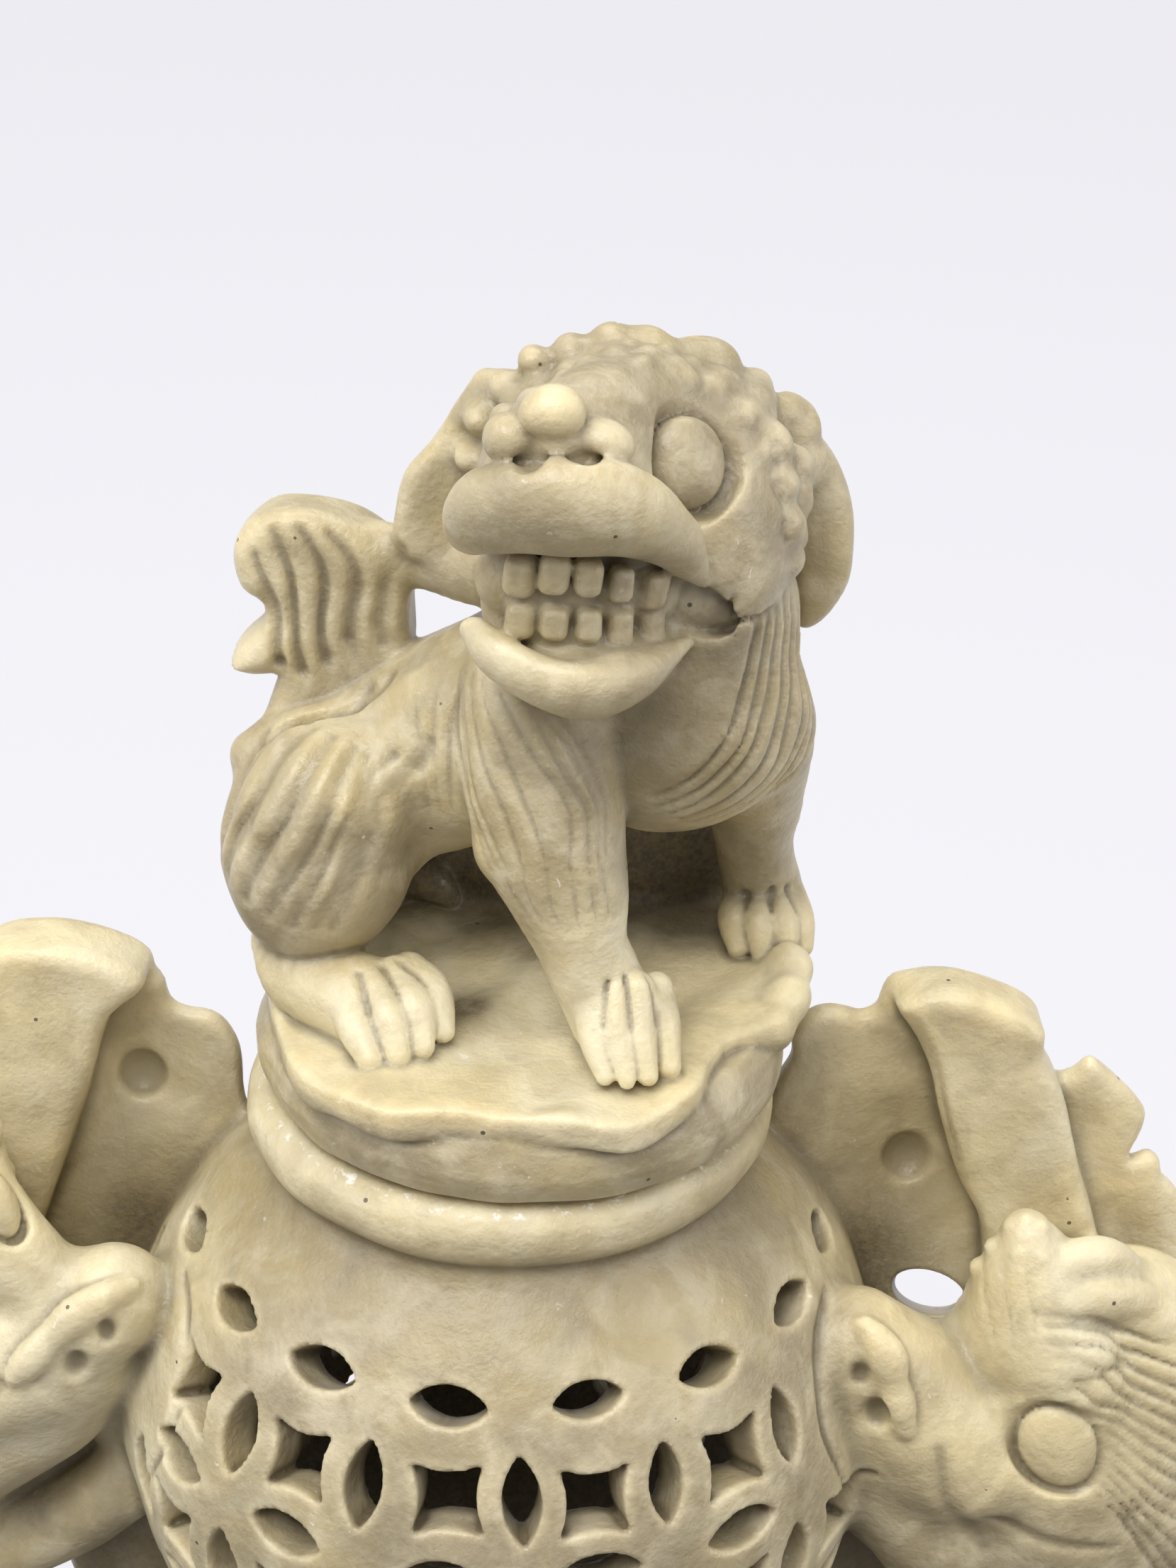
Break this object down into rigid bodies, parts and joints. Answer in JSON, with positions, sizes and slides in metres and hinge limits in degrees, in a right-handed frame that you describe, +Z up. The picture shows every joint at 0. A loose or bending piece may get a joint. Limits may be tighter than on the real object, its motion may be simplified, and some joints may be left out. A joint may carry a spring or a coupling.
{
  "type": "foo dog statue",
  "caption": "Carved soapstone censer: pierced globe jar with dragon handles and a round lid topped by a standing guardian lion.",
  "frame": {"origin": "centre of the flat base, on the table", "axes": "+Z up along the jar and lid axis, -Y towards the viewer's side that the lion's face looks to, +X to the viewer's right"},
  "size_m": [0.1758, 0.0914, 0.1859],
  "materials": {
    "stone_olive": "waxed, mottled olive grey",
    "stone_pale": "waxed, thin pale yellow edges",
    "stone_shaded": "waxed, greyer thick stone"
  },
  "bodies": {
    "jar": {"dragon_crest_left": "stone_pale", "dragon_crest_right": "stone_pale", "dragon_eye_left": "stone_pale", "dragon_eye_right": "stone_pale", "dragon_head_left": "stone_olive", "dragon_head_right": "stone_olive", "dragon_jaw_left": "stone_olive", "dragon_jaw_right": "stone_olive", "dragon_mane_left": "stone_olive", "dragon_mane_right": "stone_olive", "foot_ring": "stone_shaded", "inner_fin_left": "stone_pale", "inner_fin_right": "stone_pale", "jar_globe": "stone_olive", "mouth_ring": "stone_shaded", "nose_ridge_left": "stone_pale", "nose_ridge_right": "stone_pale", "outer_fin_left": "stone_pale", "outer_fin_right": "stone_pale", "tail_rib_left": "stone_olive", "tail_rib_right": "stone_olive"},
    "lid_plug": {"lid_spigot": "stone_shaded"},
    "lid": {"lid_drum": "stone_shaded", "rock_plinth": "stone_olive", "dog_torso": "stone_olive", "chest_mane": "stone_olive", "dog_head": "stone_olive", "crown_curls": "stone_olive", "cheek_curls": "stone_olive", "upper_lip": "stone_pale", "lower_jaw": "stone_pale", "upper_teeth": "stone_pale", "lower_teeth": "stone_pale", "nose": "stone_pale", "eye_left": "stone_pale", "eye_right": "stone_pale", "ear_left": "stone_pale", "ear_right": "stone_pale", "foreleg_left": "stone_olive", "foreleg_right": "stone_olive", "hindleg_left": "stone_olive", "hindleg_right": "stone_olive", "forepaw_left": "stone_pale", "forepaw_right": "stone_pale", "hindpaw_left": "stone_pale", "hindpaw_right": "stone_pale", "tail_plume": "stone_pale", "tail_bridge": "stone_pale", "belly_web": "stone_olive"}
  },
  "joints": [
    {"name": "lid_lift", "type": "slide", "parent": "jar", "child": "lid_plug", "axis": [0, 0, 1], "range_m": [0, 0.08]},
    {"name": "lid_turn", "type": "hinge", "parent": "lid_plug", "child": "lid", "pos_m": [0, 0, 0.099], "axis": [0, 0, 1], "continuous": true}
  ]
}
